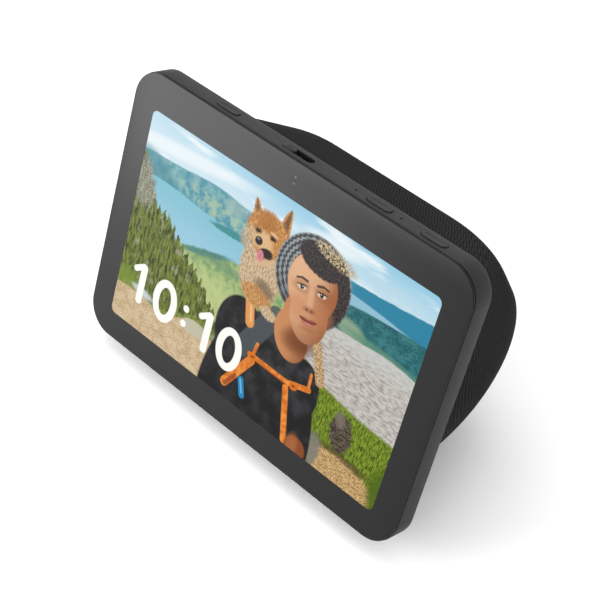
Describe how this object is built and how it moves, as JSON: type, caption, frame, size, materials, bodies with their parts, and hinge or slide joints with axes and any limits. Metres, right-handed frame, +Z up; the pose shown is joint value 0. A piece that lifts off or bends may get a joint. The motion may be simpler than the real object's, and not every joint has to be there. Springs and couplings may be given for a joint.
{
  "type": "smart display",
  "caption": "Tabletop smart display: a screen slab leaning back on a wedge-shaped, fabric-covered speaker body, with top keys and a camera shutter.",
  "frame": {"origin": "middle of the footprint, on the surface the display stands on", "axes": "+Z up, +X along the screen's width to the viewer's right, +Y to the back; the screen faces -Y and leans back 20 degrees"},
  "size_m": [0.2, 0.1119, 0.1387],
  "materials": {
    "bezel_glass": "satin black-printed cover glass",
    "adhesive": "black foam tape",
    "optical_film": "clear optical bonding film",
    "lcd_cell": "polished LCD cell",
    "aluminium": "rolled sheet",
    "cast_frame": "glass-filled moulding",
    "charcoal_plastic": "fine satin texture",
    "flex_film": "copper on polyimide",
    "black_plastic": "moulded, lightly textured",
    "lens_glass": "coated lens",
    "board_laminate": "solder mask",
    "chip_resin": "moulded resin",
    "light_plastic": "moulded",
    "steel": "plated steel",
    "black_rubber": "moulded rubber",
    "gap_pad": "soft thermal pad",
    "knit_fabric": "charcoal ribbed knit",
    "spider_cloth": "impregnated cloth",
    "cone_pulp": "coated paper",
    "magnet_steel": "ferrite and plated steel"
  },
  "bodies": {
    "case": {"cover_glass": "bezel_glass", "glass_adhesive": "adhesive", "optical_film": "optical_film", "lcd_panel": "lcd_cell", "backlight_unit": "aluminium", "mid_frame": "cast_frame", "display_housing": "charcoal_plastic", "display_flex": "flex_film", "camera_module": "black_plastic", "camera_lens": "lens_glass", "camera_board": "board_laminate", "light_sensor": "chip_resin", "shutter_guide": "black_plastic", "key_switches": "steel", "key_board_left": "board_laminate", "key_board_right": "board_laminate", "microphones": "steel", "mic_gaskets": "black_rubber", "heat_spreader": "aluminium", "thermal_pads": "gap_pad", "main_chips": "chip_resin", "main_board": "board_laminate", "chip_shield": "steel", "antennas": "flex_film", "housing_screws": "steel", "board_screws": "steel", "body_screws": "steel", "rear_housing": "black_plastic", "fabric_cover": "knit_fabric", "speaker_box": "black_plastic", "bulkhead": "black_plastic", "left_basket": "cast_frame", "left_magnet": "magnet_steel", "left_surround": "black_rubber", "right_basket": "cast_frame", "right_magnet": "magnet_steel", "right_surround": "black_rubber", "spiders": "spider_cloth", "speaker_screws": "steel", "radiator_surround": "black_rubber", "power_board": "board_laminate", "dc_jack": "black_plastic", "inlet_trim": "black_plastic", "board_ribbon": "flex_film", "base_plate": "black_plastic", "rubber_foot": "black_rubber", "base_screws": "steel"},
    "mic_off_key": {"mic_off_button": "charcoal_plastic", "mic_off_plunger": "light_plastic"},
    "volume_down_key": {"volume_down_button": "charcoal_plastic", "volume_down_plunger": "light_plastic"},
    "volume_up_key": {"volume_up_button": "charcoal_plastic", "volume_up_plunger": "light_plastic"},
    "shutter": {"shutter_slider": "charcoal_plastic"},
    "left_diaphragm": {"left_cone": "cone_pulp"},
    "right_diaphragm": {"right_cone": "cone_pulp"},
    "radiator": {"radiator_plate": "cone_pulp"}
  },
  "joints": [
    {"name": "mic_off_press", "type": "slide", "parent": "case", "child": "mic_off_key", "axis": [0, -0.342, -0.9397], "range_m": [0, 0.0006], "stiffness_N_per_m": 1500, "springref_m": -0.0002},
    {"name": "volume_down_press", "type": "slide", "parent": "case", "child": "volume_down_key", "axis": [0, -0.342, -0.9397], "range_m": [0, 0.0006], "stiffness_N_per_m": 1500, "springref_m": -0.0002},
    {"name": "volume_up_press", "type": "slide", "parent": "case", "child": "volume_up_key", "axis": [0, -0.342, -0.9397], "range_m": [0, 0.0006], "stiffness_N_per_m": 1500, "springref_m": -0.0002},
    {"name": "shutter_slide", "type": "slide", "parent": "case", "child": "shutter", "axis": [1, 0, 0], "range_m": [0, 0.0104]},
    {"name": "left_cone_travel", "type": "slide", "parent": "case", "child": "left_diaphragm", "axis": [-1, 0, 0], "range_m": [-0.0015, 0.0015], "stiffness_N_per_m": 1500},
    {"name": "right_cone_travel", "type": "slide", "parent": "case", "child": "right_diaphragm", "axis": [1, 0, 0], "range_m": [-0.0015, 0.0015], "stiffness_N_per_m": 1500},
    {"name": "radiator_travel", "type": "slide", "parent": "case", "child": "radiator", "axis": [0, 1, 0], "range_m": [-0.0025, 0.0025], "stiffness_N_per_m": 1200}
  ]
}
